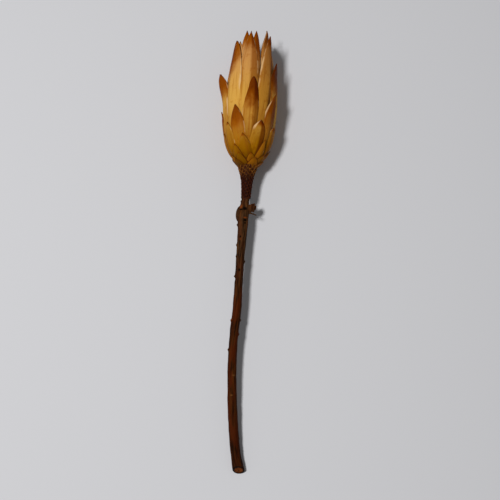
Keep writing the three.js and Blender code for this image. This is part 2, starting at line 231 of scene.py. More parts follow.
# The old branching: a swelling, and the ragged rest of a side shoot as bowed rods between two points
SWELLING = dict(centre=(-5, 21.8, 14.7), way=(0.1, 1, 0.05), reach=6.4, girth=3.6, end=0.98, points=15)
SPLINTERS = [
    dict(start=(-1.3, 25.6, 15), end=(5.0, 29.0, 15.7), root=1.5, tip=0.6),
    dict(start=(-1.3, 25.4, 15), end=(5.9, 27.0, 15.4), root=1.6, tip=0.75),
    dict(start=(-1.3, 25, 15), end=(5.5, 25.3, 14.9), root=1.7, tip=0.6),
    dict(start=(-1.3, 24.6, 14.9), end=(4.4, 23.8, 14.6), root=1.6, tip=0.7),
    dict(start=(-1.4, 23, 14.7), end=(5.9, 21.0, 14.3), root=0.7, tip=0.42),
]
SPLINTER_BOW = (0, 0.25, 0.3)
SPLINTER_POINTS = 9

# The grain at which the stem, its swelling and its splinters are fused into one
FUSE_STEP = 0.26

# Marks on the stem: distance along it, side (0 right, 90 top, 180 left), half length and half width.
# Each leaf scar has a smaller hollow just above it.
SCAR_SIZE = (1.1, 1.0)
SCAR_PLACES = [
    (195, 20), (190, 175), (187, 168), (170, 178), (155.4, 176), (147, 150), (144, 0), (137, 250), (133, 172),
    (118, 300), (102, 175), (103, 0), (93, 5), (82, 182), (70, 280), (38, 225), (22, 330),
]
LEAF_SCARS = [place + SCAR_SIZE for place in SCAR_PLACES]
HOLLOW_SHARE = 0.55
HOLLOW_OFFSET = 0.7
RAW_WOOD = [(182, 128, 1.5, 1.2), (174.4, 66, 0.7, 2.0), (159, 112, 1.4, 0.5), (102, 150, 0.8, 0.8)]
DARK_PITS = [
    (190, 100, 1.0, 0.8), (181.2, 79, 1.4, 1.9), (172.6, 62, 0.9, 1.5), (170.6, 60, 0.6, 0.9),
    (160.6, 110, 0.8, 0.6), (137, 90, 1.0, 0.8), (131, 180, 1.0, 0.8),
    (180.3, 122, 0.6, 1.3), (196, 70, 0.5, 1.6), (199, 100, 0.4, 1.8),
]
RIDGES = [(183, 62, 3.2, 0.55), (182.6, 130, 1.5, 1.5), (177, 118, 3.0, 0.6), (166, 40, 6.0, 0.5)]
PALE_DASHES = [(64.3, 66, 0.35, 0.9), (51, 98, 0.35, 0.8)]

# Distances along the stem over which painted shade on the bark near the cut fades out, and over which the
# bark turns greyer toward the head
CUT_END_SHADE_FADES = (10, 50)
BARK_GREYS = (112, 160)

# The cut's face: how far its colour reaches into the stem, and the radii where its pith ends and its
# dark rim begins
FACE_DEPTH = (0.12, 0.35)
PITH_END = (0.4, 0.8)
FACE_RIM = (3.0, 4.1)

# How softly what reaches the surface that the bloom lies on bends flat against it
PRESS = 0.35 * MM

# The camera stands where the photograph's did, 15 degrees off straight above
CAMERA_ELEVATION = 75
CAMERA_DISTANCE = 0.8264
CAMERA_TARGET = Vector((0.0014, -0.0024, 0.008))
LENS = 85
SENSOR_WIDTH = 36

# One soft lamp high at the left, with weak light from all round, and a plain pale floor
KEY_AZIMUTH = -174.4
KEY_ELEVATION = 69.8
KEY_DISTANCE = 1.6
KEY_SIZE = 0.26
KEY_POWER = 20.5
FILL_STRENGTH = 0.17
FLOOR_REACH = 3
FLOOR_COLOR = "#d0d0d3"

# A wave so steep that its fraction is as good as random
COPY_STEP = 12.9898
USE_STEP = 78.233
WAVE_HEIGHT = 43758.5453

# How a screen's colours turn into light: straight up to the knee, and by a power above it
SCREEN_KNEE = 0.04045
SCREEN_SLOPE = 12.92
SCREEN_LIFT = 0.055
SCREEN_POWER = 2.4

# Sockets of a node that mixes two colours
MIX_SHARE, MIX_LOW, MIX_HIGH, MIX_RESULT = 0, 6, 7, 2


def between(pairs, place):
    """The second number of the pairs, at a place between their first numbers."""
    return np.interp(place, [pair[0] for pair in pairs], [pair[1] for pair in pairs])


def vary(copy, use):
    """A repeatable number between 0 and 1 for each copy of a piece, and for each use of it."""
    wave = math.sin(copy * COPY_STEP + use * USE_STEP) * WAVE_HEIGHT
    return wave - math.floor(wave)


def spread(low, high, copy, use):
    """A repeatable number between a low and a high one."""
    return low + (high - low) * vary(copy, use)


def of_hex(code):
    """A colour given as it looks on a screen, as the light values that a shader takes."""
    light = []
    for place in (1, 3, 5):
        part = int(code[place:place + 2], 16) / 255
        dark = part / SCREEN_SLOPE
        bright = ((part + SCREEN_LIFT) / (1 + SCREEN_LIFT)) ** SCREEN_POWER
        light.append(dark if part <= SCREEN_KNEE else bright)
    return (*light, 1.0)


def operation(kind, reverse=False):
    """A method that makes one operation of a formula into a node."""
    def method(self, *others):
        values = (*others, self) if reverse else (self, *others)
        return self.tree.math(kind, *values)
    return method


class Amount:
    """A number inside a node tree, so that a formula reads as it would on paper."""

    def __init__(self, tree, socket):
        self.tree = tree
        self.socket = socket

    __add__ = operation("ADD")
    __radd__ = operation("ADD", reverse=True)
    __sub__ = operation("SUBTRACT")
    __rsub__ = operation("SUBTRACT", reverse=True)
    __mul__ = operation("MULTIPLY")
    __rmul__ = operation("MULTIPLY", reverse=True)
    __truediv__ = operation("DIVIDE")
    __pow__ = operation("POWER")
    __abs__ = operation("ABSOLUTE")
    sin = operation("SINE")
    cos = operation("COSINE")
    at_least = operation("MAXIMUM")
    at_most = operation("MINIMUM")

    def step(self, low, high):
        """0 below low, 1 above high, smooth between."""
        made = self.tree.node("ShaderNodeMapRange", interpolation_type="SMOOTHSTEP")
        for name, value in (("Value", self), ("From Min", low), ("From Max", high)):
            self.tree.feed(made.inputs[name], value)
        return Amount(self.tree, made.outputs["Result"])


class Tree:
    """A node tree being built, for a shape or for a material."""

    def __init__(self, tree):
        self.tree = tree

    def node(self, kind, **settings):
        made = self.tree.nodes.new(kind)
        for name, value in settings.items():
            setattr(made, name, value)
        return made

    def feed(self, socket, value):
        """Links a value of the tree to a socket, or sets a plain one on it."""
        if isinstance(value, Amount):
            value = value.socket
        if isinstance(value, bpy.types.NodeSocket):
            self.tree.links.new(value, socket)
        else:
            socket.default_value = value

    def run(self, kind, feeds, **settings):
        """A new node with its inputs fed by name or by place, as its first output."""
        made = self.node(kind, **settings)
        for name, value in feeds.items():
            self.feed(made.inputs[name], value)
        return made.outputs[0]

    def math(self, kind, *values):
        return Amount(self, self.run("ShaderNodeMath", dict(enumerate(values)), operation=kind))

    def point(self, x, y, z):
        return self.run("ShaderNodeCombineXYZ", {0: x, 1: y, 2: z})

    def parts(self, vector):
        made = self.node("ShaderNodeSeparateXYZ")
        self.feed(made.inputs[0], vector)
        return [Amount(self, socket) for socket in made.outputs]

    def numbers(self, names):
        """The numbers that a mesh carries under each of some names."""
        return [self.number(name) for name in names.split()]

    def noise(self, place, scale=1.0, detail=2.0, roughness=0.5):
        """Soft noise round 0.5, at a vector or at three numbers."""
        vector = self.point(*place) if isinstance(place, tuple) else place
        feeds = {"Vector": vector, "Scale": scale, "Detail": detail, "Roughness": roughness}
        return Amount(self, self.run("ShaderNodeTexNoise", feeds))

    def curve(self, value, pairs):
        """Straight steps through pairs of shares between 0 and 1."""
        made = self.node("ShaderNodeFloatCurve")
        line = made.mapping.curves[0]
        while len(line.points) < len(pairs):
            line.points.new(0.5, 0.5)
        for point, (place, height) in zip(line.points, pairs):
            point.location = (place, height)
            point.handle_type = "VECTOR"
        made.mapping.update()
        self.feed(made.inputs["Value"], value)
        return Amount(self, made.outputs[0])


class ShapeTree(Tree):
    """A Geometry Nodes tree with named sizes, which ends in its material on a real mesh."""

    def __init__(self, name, sizes):
        super().__init__(bpy.data.node_groups.new(name, "GeometryNodeTree"))
        face = self.tree.interface
        face.new_socket("Geometry", in_out="INPUT", socket_type="NodeSocketGeometry")
        self.ids = {}
        for size, value in sizes.items():
            kind = "NodeSocketInt" if isinstance(value, int) else "NodeSocketFloat"
            made = face.new_socket(size, in_out="INPUT", socket_type=kind)
            made.default_value = value
            self.ids[size] = made.identifier
        face.new_socket("Geometry", in_out="OUTPUT", socket_type="NodeSocketGeometry")
        self.entry = self.node("NodeGroupInput")
        self.exit = self.node("NodeGroupOutput")
        self.start = self.entry.outputs["Geometry"]

    def size(self, name):
        return Amount(self, self.entry.outputs[name])

    def number(self, name):
        feeds = {"Name": name}
        return Amount(self, self.run("GeometryNodeInputNamedAttribute", feeds, data_type="FLOAT"))

    def position(self):
        return self.parts(self.run("GeometryNodeInputPosition", {}))

    def store(self, shape, numbers):
        """A shape with named numbers on its points."""
        for name, value in numbers.items():
            feeds = {"Geometry": shape, "Name": name, "Value": value}
            shape = self.run("GeometryNodeStoreNamedAttribute", feeds, data_type="FLOAT", domain="POINT")
        return shape

    def move(self, shape, x, y, z):
        return self.run("GeometryNodeSetPosition", {"Geometry": shape, "Position": self.point(x, y, z)})

    def wrap(self, shape, radius, height, azimuth):
        """Places each point of a shape round +Y, at a height along it."""
        return self.move(shape, radius * azimuth.cos(), height, radius * azimuth.sin())

    def swell(self, shape, amount):
        """Moves each point of a shape out along its normal."""
        normal = self.run("GeometryNodeInputNormal", {})
        feeds = {0: normal, "Scale": amount}
        offset = self.run("ShaderNodeVectorMath", feeds, operation="SCALE")
        return self.run("GeometryNodeSetPosition", {"Geometry": shape, "Offset": offset})

    def copies(self, shape):
        """One real copy of a shape on each incoming point, with the point's numbers on it."""
        feeds = {"Points": self.start, "Instance": shape}
        return self.run("GeometryNodeRealizeInstances", {0: self.run("GeometryNodeInstanceOnPoints", feeds)})

    def finish(self, shape, material):
        smooth = self.run("GeometryNodeSetShadeSmooth", {"Geometry": shape})
        real = self.run("GeometryNodeRealizeInstances", {0: smooth})
        dressed = self.run("GeometryNodeSetMaterial", {"Geometry": real, "Material": material})
        self.feed(self.exit.inputs["Geometry"], dressed)
        return self


class Finish(Tree):
    """A material under construction."""

    def __init__(self, name, roughness, gloss=0.5):
        self.material = bpy.data.materials.new(name)
        self.material.use_nodes = True
        super().__init__(self.material.node_tree)
        self.shader = self.tree.nodes["Principled BSDF"]
        self.shader.inputs["Roughness"].default_value = roughness
        self.shader.inputs["Specular IOR Level"].default_value = gloss

    def number(self, name):
        return Amount(self, self.node("ShaderNodeAttribute", attribute_name=name).outputs["Fac"])

    def place(self):
        return self.node("ShaderNodeTexCoord").outputs["Object"]

    def blend(self, share, low, high):
        """One colour turning into another, each a screen code or a colour of the tree."""
        made = self.node("ShaderNodeMix", data_type="RGBA", clamp_factor=True)
        self.feed(made.inputs[MIX_SHARE], share)
        self.feed(made.inputs[MIX_LOW], of_hex(low) if isinstance(low, str) else low)
        self.feed(made.inputs[MIX_HIGH], of_hex(high) if isinstance(high, str) else high)
        return made.outputs[MIX_RESULT]

    def darken(self, share, color, left):
        """A colour turning into a darker one, with only what is left of red, green and blue."""
        darker = self.run("ShaderNodeVectorMath", {0: color, 1: left}, operation="MULTIPLY")
        return self.blend(share, color, darker)

    def shade(self, color, factor):
        """A colour made lighter or darker by a number round 1."""
        return self.run("ShaderNodeVectorMath", {0: color, "Scale": factor}, operation="SCALE")

    def bump(self, height, distance):
        feeds = {"Height": height, "Distance": distance}
        self.feed(self.shader.inputs["Normal"], self.run("ShaderNodeBump", feeds))

    def color(self, color):
        self.feed(self.shader.inputs["Base Color"], color)
        return self.material


def points_mesh(name, points, edges=(), faces=()):
    mesh = bpy.data.meshes.new(name)
    mesh.from_pydata(points, edges, faces)
    return mesh


def set_numbers(mesh, columns):
    """Stores columns of numbers on a mesh's points."""
    for name, values in columns.items():
        mesh.attributes.new(name, "FLOAT", "POINT").data.foreach_set("value", np.asarray(values, np.float32))


def places_of(mesh):
    places = np.empty(len(mesh.vertices) * 3, np.float32)
    mesh.vertices.foreach_get("co", places)
    return places.reshape(-1, 3)


def grown(name, tree, mesh, sizes=None, place=Matrix.Scale(MM, 4), crease=180):
    """Runs a tree on a mesh, and keeps the result as a plain piece."""
    piece = bpy.data.objects.new(name, mesh)
    bpy.context.scene.collection.objects.link(piece)
    modifier = piece.modifiers.new("grow", "NODES")
    modifier.node_group = tree.tree
    for size, value in (sizes or {}).items():
        modifier[tree.ids[size]] = value
    state = bpy.context.evaluated_depsgraph_get()
    result = piece.evaluated_get(state)
    made = bpy.data.meshes.new_from_object(result, preserve_all_data_layers=True, depsgraph=state)
    piece.modifiers.clear()
    made.transform(place)
    made.set_sharp_from_angle(angle=crease * RADIANS)
    made.name = name
    piece.data = made
    return piece


def press_on_surface(piece):
    """Bends what reaches the surface that the bloom lies on flat against it."""
    places = places_of(piece.data)
    places[:, 2] = PRESS * np.logaddexp(0, places[:, 2] / PRESS)
    piece.data.vertices.foreach_set("co", places.ravel())
    piece.data.update()


def dress(piece, node):
    """Hangs a piece on the root body and hides the part of the frame that it stands for."""
    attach(piece, "root")
    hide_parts(node)


def bract_finish():
    """Waxy dry bract: olive at the neck, golden above it, browned from its tip, with fine veins along it; one
    side of its fold darker, partly painted shade, and pale rims, partly painted highlight.
    """
    finish = Finish("waxy_bract", 0.45, gloss=0.025)
    across, height, tip_distance, number = finish.numbers("across height tip_distance number")
    reach, dusk = finish.numbers("brown dusk")
    soft = finish.noise((across * 1.2, tip_distance * 0.12, number * 7.3), detail=3.0)
    veins = finish.noise((across * 16, tip_distance * 0.05, number * 3.1), detail=3.0, roughness=0.6)
    streaks = finish.noise((across * 5, tip_distance * 0.04, number * 9.7))
    blotches = finish.noise((across * 2.2, tip_distance * 0.25, number * 4.9))
    patches = finish.noise((across.step(-0.1, 0.1) * 5, tip_distance * 0.13, number * 2.7), detail=1.0)
    olive = finish.blend((height + soft * 8).step(*OLIVE_HEIGHTS), "#4c2b00", "#996300")
    golden = finish.blend((height + soft * 16).step(*GOLDEN_HEIGHTS), olive, "#d6a248")
    tan = finish.blend((height + soft * 16).step(*TAN_HEIGHTS), golden, "#cb9152")
    warm = finish.blend((finish.number("tone") * 0.5 + streaks).step(0.6, 1.0) * 0.6, tan, "#b06a12")
    uneven = 0.55 + soft * 0.9 - across * finish.number("lop")
    browning = (reach * uneven - tip_distance) / reach.at_least(0.5)
    orange = finish.blend(browning.step(-0.5, 0.4), warm, "#985000")
    scorched = finish.blend(browning.step(0.0, 0.75) * finish.number("scorch"), orange, "#561500")
    # One side of each fold darkened: partly browning, partly painted shade on the side turned from the lamp
    side_brown_and_shade_share = (finish.number("folded") * dusk * 4).step(-0.2, 0.8) * abs(dusk)
    side_browned_and_shaded = finish.darken(side_brown_and_shade_share, scorched, SIDE_BROWN_AND_SHADE)
    stained = finish.darken(blotches.step(0.56, 0.72) * 0.5, side_browned_and_shaded, STAINED)
    streaked = finish.darken(streaks.step(0.52, 0.7) * 0.45, stained, STREAKED)
    deeper = finish.darken(finish.number("deep"), streaked, DEEP)
    small = 1 - number.step(SMALL_BRACTS - 2, SMALL_BRACTS + 5)
    # Pale rims and stretches of rim: partly worn margins, partly painted highlights where rims catch the lamp
    pale_rim_and_highlight = (abs(across) + soft * 0.2).step(0.9, 1.04) * patches.step(0.52, 0.62) * (1 - small) * 0.45
    stretch = (1 - abs(tip_distance - finish.number("pale_rim_and_highlight_at")) / PALE_RIM_AND_HIGHLIGHT_LENGTH).step(0, 0.5)
    own_pale_rim_and_highlight = (across * finish.number("pale_rim_and_highlight") + soft * 0.3).step(0.85, 1.05) * stretch
    pale = finish.blend(pale_rim_and_highlight.at_least(own_pale_rim_and_highlight * 0.75), deeper, "#e6bd86")
    margin = (abs(across) + small * 0.16 - soft * 0.04).step(0.92, 0.985)
    edged = finish.blend(margin * (0.7 + small * 0.2), pale, "#4e2002")
    cap = (1 - tip_distance.step(0.0, CAP_LENGTH)) * (0.65 - small * 0.3)
    tipped = finish.blend(cap, edged, "#4a1f04")
    lining = finish.blend(finish.number("inner") * 0.75, tipped, "#8a5a22")
    finish.bump(veins, 0.2 * MM)
    finish.feed(finish.shader.inputs["Roughness"], 0.38 + soft * 0.2)
    return finish.color(finish.shade(lining, 0.76 + veins * 0.48))


def head_place():
    """Puts what is made along the head's own axis where the head is."""
    rise = Matrix.Rotation(HEAD_RISE * RADIANS, 4, "X")
    turn = Matrix.Rotation(-HEAD_TURN * RADIANS, 4, "Z")
    return Matrix.Scale(MM, 4) @ Matrix.Translation(HEAD_BASE) @ turn @ rise


def bract_values(number):
    """The values that one bract is grown from: those of the rule, and then its own."""
    growth = min(1, number / SMALL_BRACTS)
    own = dict(
        turn=0,
        rise=spread(-0.8, 0.8, number, 1),
        lean=spread(-4, 4, number, 2),
        flare=spread(0.3, 1.1, number, 3) * growth,
        width=between(BRACT_WIDTHS, number),
        taper=between(TAPER_LENGTHS, number),
        twist=0,
        point=TIP_POWER,
        root_width=between(ROOT_WIDTHS, number),
        fold=spread(-0.2, 0.2, number, 7),
        brown=between(BROWN_REACHES, number) * spread(0.6, 1.4, number, 5),
        scorch=spread(0, 0.4, number, 11) * growth,
        dusk=spread(0, 0.5, number, 12),
        tone=vary(number, 6),
        deep=spread(0, 0.3, number, 13),
        pale_rim_and_highlight=0,
        pale_rim_and_highlight_at=0,
        lop=0,
        number=number,
    )
    own.update(SINGLE_BRACTS.get(number, {}))
    foot = max(0, ROOT_SPAN * (number / (BRACTS - 1)) ** ROOT_POWER - ROOT_START - ROOT_SINK)
    drop = 0 if foot else FOOT_DROP
    own["foot"] = foot - drop
    own["length"] = between(TIP_HEIGHTS, number) + own.pop("rise") - foot
    own["taper"] = min(own["taper"], between(TAPER_LIMITS, number) * own["length"])
    own["keel"] = min(1, own["length"] / KEEL_LENGTH)
    own["length"] += drop
    own["azimuth"] = (FIRST_AZIMUTH + GOLDEN_ANGLE * number + own.pop("turn")) * RADIANS
    own["lean"] *= RADIANS
    return own


def envelope(tree, height):
    """Radius of the head's outer surface at a height on its axis, and of the neck below it."""
    below = 1 - (height.at_least(0) / WIDEST_AT).at_most(1)
    neck = NECK_RADIUS + NECK_SLOPE * height.at_most(0)
    swelling = neck + (HEAD_RADIUS - NECK_RADIUS) * (1 - below ** BELLY_POWER) ** FOOT_POWER
    above = ((height - WIDEST_AT) / (HEAD_LENGTH - WIDEST_AT)).at_least(0)
    return swelling - (HEAD_RADIUS - MOUTH_RADIUS) * above ** CLOSING_POWER


def blade(tree, crowding):
    """Flat leaves, one on each incoming point, which know their place across and along."""
    columns, rows = tree.size("Columns"), tree.size("Rows")
    feeds = {"Size": (2, 1, 1), "Vertices X": columns, "Vertices Y": rows, "Vertices Z": 2}
    flat = tree.run("GeometryNodeMeshCube", feeds)
    x, y, z = tree.position()
    return tree.copies(tree.store(flat, {"across": x, "along": 1 - (0.5 - y) ** crowding, "inner": 0.5 - z}))


def bract_tree(material):
    """Bends one blade on each point into its layer of the head."""
    sizes = {"Columns": 25, "Rows": 56, "Keel": KEEL_HEIGHT, "Layer": LAYER_STEP, "Roll": RIM_ROLL,
             "Dents": 0.8, "Veins": 0.09, "Waver": 0.1}
    tree = ShapeTree("bract_blades", sizes)
    blades = blade(tree, crowding=1.3)
    across, along, inner = tree.numbers("across along inner")
    number, foot, length, fold, root = tree.numbers("number foot length fold root_width")
    height = foot + length * along

    # How deep the blade lies under the bracts that still cover the head at this height
    pairs = [(0, 0)] + [(tip / HEAD_LENGTH, bract / BRACTS) for bract, tip in SURFACE_HEIGHTS]
    ending = tree.curve(height / HEAD_LENGTH, pairs)
    depth = tree.size("Layer") * (number - ending * BRACTS).at_least(0)

    # The keel along its fold, the curl of its tip, and dents and veins where it shows
    folded = (across - fold) / (1 - fold * across)
    ridge = ((along + 0.15).at_most(1) * math.pi).sin() ** 0.5
    keel = tree.size("Keel") * tree.number("keel") * (1 - abs(folded) ** KEEL_POWER) * ridge
    curl = ((along - CURL_START) / (1 - CURL_START)).at_least(0) ** 2
    middle = envelope(tree, height) - depth + tree.number("flare") * curl
    seen = (along * 3).at_most(1)
    dents = tree.noise((across * 0.8, height * 0.06, number * 5.7), detail=1.0) - 0.5
    veins = tree.noise((across * 5, height * 0.03, number * 3.1)) - 0.5
    relief = seen * (dents * tree.size("Dents") + veins * tree.size("Veins"))

    # Its outline, from a root of its own width to a tapered tip, with a slightly wavering rim
    taper = ((1 - along) * length / tree.number("taper")).at_most(1) * (math.pi / 2)
    pointed = taper.sin() ** tree.number("point")
    widened = root + (1 - root) * ((along * 2).at_most(1) * (math.pi / 2)).sin()
    waver = tree.noise((number * 3.3, height * 0.12, across.step(-0.1, 0.1) * 9), detail=1.0) - 0.5
    wavering = 1 + waver * tree.size("Waver") * seen
    width = tree.number("width") * pointed.at_least(TIP_BLUNTNESS) * widened * wavering
    offset = across * width / 2

    # Its two faces, which come together toward a rolled rim
    rim = (1 - abs(across)).at_most(RIM_SHARE) / RIM_SHARE
    thickness = RIM_THICKNESS + (BLADE_THICKNESS - RIM_THICKNESS) * rim
    rolled = tree.size("Roll") * abs(across) ** 5
    radius = middle + keel + relief - rolled - tree.number("twist") * offset * curl - inner * thickness
    azimuth = tree.number("azimuth") + tree.number("lean") * along - offset / middle
    tip_distance = length * (1 - along)
    blades = tree.store(blades, {"height": height, "folded": folded, "tip_distance": tip_distance})
    return tree.finish(tree.wrap(blades, radius, height, azimuth), material)


def build_bracts():
    tree = bract_tree(bract_finish())
    layers = {
        "scale_bracts": (range(SMALL_BRACTS), {"Columns": 17, "Rows": 24, "Roll": 0.3, "Dents": 0.3}),
        "outer_bracts": (range(SMALL_BRACTS, OUTER_BRACTS), {"Columns": 29, "Rows": 72}),
        "inner_bracts": (range(OUTER_BRACTS, BRACTS), {"Columns": 25, "Rows": 88}),
    }
    for name, (numbers, sizes) in layers.items():
        rows = [bract_values(number) for number in numbers]
        mesh = points_mesh(name, [(0, 0, 0)] * len(rows))
        set_numbers(mesh, {value: [row[value] for row in rows] for value in rows[0]})
        layer = grown(name, tree, mesh, sizes, head_place(), crease=55)
        press_on_surface(layer)
        dress(layer, "bracts")


def turned(pairs, sides=64, steps=48):
    """A closed shape turned about +Y, from pairs of a height and a radius."""
    heights = np.linspace(pairs[0][0], pairs[-1][0], steps)
    angles = np.arange(sides) * 2 * math.pi / sides
    radii = between(pairs, heights)
    rings = [(r * math.cos(a), h, r * math.sin(a)) for h, r in zip(heights, radii) for a in angles]
    faces = []
    for ring in range(steps - 1):
        for side in range(sides):
            low, next_low = ring * sides + side, ring * sides + (side + 1) % sides
            faces.append((low, low + sides, next_low + sides, next_low))
    faces.append(tuple(range(sides)))
    faces.append(tuple(reversed(range((steps - 1) * sides, steps * sides))))
    return points_mesh("turned", rings, faces=faces)


def cup_finish():
    """Rough brown wood."""
    finish = Finish("woody_cup", 0.6)
    grain = finish.noise(finish.place(), scale=900.0, detail=4.0)
    finish.bump(grain, 0.2 * MM)
    return finish.color(finish.blend(grain.step(0.3, 0.7), "#4a2a04", "#7a4c08"))


def build_cup():
    tree = ShapeTree("woody_cup", {"Relief": 0.5})
    lumps = tree.noise(tuple(tree.position()), scale=0.6) - 0.5
    tree.finish(tree.swell(tree.start, lumps * tree.size("Relief")), cup_finish())
    cup = grown("bract_cup", tree, turned(CUP_OUTLINE), place=head_place(), crease=60)
    dress(cup, "bracts")


def floret_finish():
    """Dry fibrous floret: straw, browner at its tip, with fine streaks along it."""
    finish = Finish("dry_floret", 0.75)
    streaks = finish.noise(finish.place(), scale=1800.0, detail=3.0)
    straw = finish.blend(finish.number("tone"), "#c09a68", "#e2c592")
    tipped = finish.blend(finish.number("along").step(0.84, 1.0) * 0.8, straw, "#94642f")
    finish.bump(streaks, 0.1 * MM)
    return finish.color(finish.shade(tipped, 0.75 + streaks * 0.5))


def floret_tree(material):
    """A stiff thread on each point, leaning out from the middle, with a small club at its tip."""
    sizes = {"Sides": 5, "Steps": 9, "Radius": FLORET_RADIUS, "Foot": 0.62, "Spread": 0.5, "Sway": 0.35,
             "Taper": 0.55, "Tip": 0.12}
    tree = ShapeTree("floret_threads", sizes)
    feeds = {"Vertices": tree.size("Sides"), "Side Segments": tree.size("Steps"), "Radius": 1.0, "Depth": 1.0}
    rod = tree.run("GeometryNodeMeshCylinder", feeds)
    x, y, z = tree.position()
    threads = tree.copies(tree.store(rod, {"round_x": x, "round_y": y, "along": z + 0.5}))
    along, share, number = tree.numbers("along share number")
    reach = CORE_RADIUS * share * (tree.size("Foot") + tree.size("Spread") * along ** 1.5)
    sway = tree.noise((along * 1.5, number * 3.7, share), detail=1.0) - 0.5
    azimuth = tree.number("azimuth") + sway * tree.size("Sway")
    taper = tree.size("Taper")
    club = 1 - taper * along + taper * (along.step(0.82, 0.93) - along.step(0.93, 1.0) * 1.35)
    girth = tree.size("Radius") * club.at_least(tree.size("Tip"))
    across = reach + tree.number("round_x") * girth
    side = tree.number("round_y") * girth
    height = tree.number("top") - FLORET_LENGTH * (1 - along)
    out_x = across * azimuth.cos() - side * azimuth.sin()
    out_z = across * azimuth.sin() + side * azimuth.cos()
    return tree.finish(tree.move(threads, out_x, height, out_z), material)


def floret_core_tree(material):
    """A core with the ribs of the florets that grow on it."""
    tree = ShapeTree("floret_core", {"Relief": 0.6, "Along": 0.2, "Tone": 0.3})
    x, y, z = tree.position()
    ribs = tree.noise((x * 1.6, y * 0.08, z * 1.6)) - 0.5
    core = tree.swell(tree.start, ribs * tree.size("Relief"))
    return tree.finish(tree.store(core, {"along": tree.size("Along"), "tone": tree.size("Tone")}), material)


def build_florets():
    material = floret_finish()
    numbers = range(FLORETS)
    shares = [math.sqrt((number + 0.5) / FLORETS) for number in numbers]
    columns = {
        "number": list(numbers),
        "share": shares,
        "azimuth": [GOLDEN_ANGLE * number * RADIANS for number in numbers],
        "top": [FLORET_TOP - FLORET_FALL * share ** 2 - FLORET_UNEVENNESS * vary(number, 4)
                for number, share in enumerate(shares)],
        "tone": [vary(number, 8) for number in numbers],
    }
    mesh = points_mesh("florets", [(0, 0, 0)] * FLORETS)
    set_numbers(mesh, columns)
    dress(grown("floret_threads", floret_tree(material), mesh, place=head_place()), "florets")
    outline = turned(CORE_OUTLINE)
    core = grown("floret_core", floret_core_tree(material), outline, place=head_place(), crease=60)
    dress(core, "florets")


def smooth_line(route, step=0.5, samples=60):
    """Even points on a smooth line through the route, with their distances along it."""
    known = np.array(route, float)
    known = np.vstack([2 * known[0] - known[1], known, 2 * known[-1] - known[-2]])
    share = np.linspace(0, 1, samples, endpoint=False)[:, None]
    line = []
    for before, start, end, after in zip(known, known[1:], known[2:], known[3:]):
        gaps = [math.sqrt(np.linalg.norm(b - a)) for a, b in ((before, start), (start, end), (end, after))]
        leave = (start - before) / gaps[0] - (end - before) / (gaps[0] + gaps[1]) + (end - start) / gaps[1]
        reach = (end - start) / gaps[1] - (after - start) / (gaps[1] + gaps[2]) + (after - end) / gaps[2]
        cubic = 2 * share ** 3 - 3 * share ** 2
        line.append(start + cubic * (start - end) + (share ** 3 - 2 * share ** 2 + share) * leave * gaps[1]
                    + (share ** 3 - share ** 2) * reach * gaps[1])
    line = np.vstack(line + [known[-2:-1]])
    run = np.concatenate([[0], np.cumsum(np.linalg.norm(np.diff(line, axis=0), axis=1))])
    distances = np.arange(0, run[-1], step)
    return np.stack([np.interp(distances, run, line[:, axis]) for axis in range(3)], 1), distances


def stem_strands():
    """The middle lines of the stem, its swelling and its splinters, each with the girths along it."""
    line, distances = smooth_line(STEM_ROUTE)
    past = np.arange(STEPS_PAST_CUT, 0, -1)
    tail = line[0] + np.outer(past, line[0] - line[1])
    run = np.concatenate([-past * (distances[1] - distances[0]), distances])
    strands = [(np.vstack([tail, line]), between(STEM_GIRTHS, run))]
    turn = np.linspace(-SWELLING["end"], SWELLING["end"], SWELLING["points"])
    middle = np.array(SWELLING["centre"]) + np.outer(turn * SWELLING["reach"], SWELLING["way"])
    strands.append((middle, SWELLING["girth"] * np.sqrt(1 - turn ** 2)))
    share = np.linspace(0, 1, SPLINTER_POINTS)
    bow = np.outer(np.sin(share * math.pi), SPLINTER_BOW)
    for splinter in SPLINTERS:
        start, end = np.array(splinter["start"]), np.array(splinter["end"])
        girths = between([(0, splinter["root"]), (1, splinter["tip"])], share)
        strands.append((start + np.outer(share, end - start) + bow, girths))
    return strands


def strands_mesh():
    """All of the strands as loose lines, with the girth on each point."""
    points, edges, girths = [], [], []
    for places, thickness in stem_strands():
        edges += [(len(points) + step, len(points) + step + 1) for step in range(len(places) - 1)]
        points += [tuple(place) for place in places]
        girths += list(thickness)
    mesh = points_mesh("stem_lines", points, edges)
    set_numbers(mesh, {"girth": girths})
    return mesh


def rod_tree():
    """Round rods along the incoming lines, as thick as their girth says."""
    tree = ShapeTree("stem_rods", {"Sides": 28})
    lines = tree.run("GeometryNodeMeshToCurve", {"Mesh": tree.start})
    ring = tree.run("GeometryNodeCurvePrimitiveCircle", {"Resolution": tree.size("Sides"), "Radius": 1.0})
    feeds = {"Curve": lines, "Profile Curve": ring, "Scale": tree.number("girth"), "Fill Caps": True}
    rods = tree.run("GeometryNodeCurveToMesh", feeds)
    return tree.finish(rods, None)


def cut_normal():
    """The way from the slanting cut into the stem."""
    return Vector((0, math.cos(CUT_SLANT * RADIANS), -math.sin(CUT_SLANT * RADIANS)))


def cut_off(mesh):
    """Takes off what lies below the slanting cut, and closes it with a flat face."""
    form = bmesh.new()
    form.from_mesh(mesh)
    every = form.verts[:] + form.edges[:] + form.faces[:]
    plane = dict(plane_co=CUT_CENTRE, plane_no=cut_normal())
    made = bmesh.ops.bisect_plane(form, geom=every, clear_inner=True, **plane)
    rim = [item for item in made["geom_cut"] if isinstance(item, bmesh.types.BMEdge)]
    bmesh.ops.contextual_create(form, geom=rim)
    form.to_mesh(mesh)
    form.free()


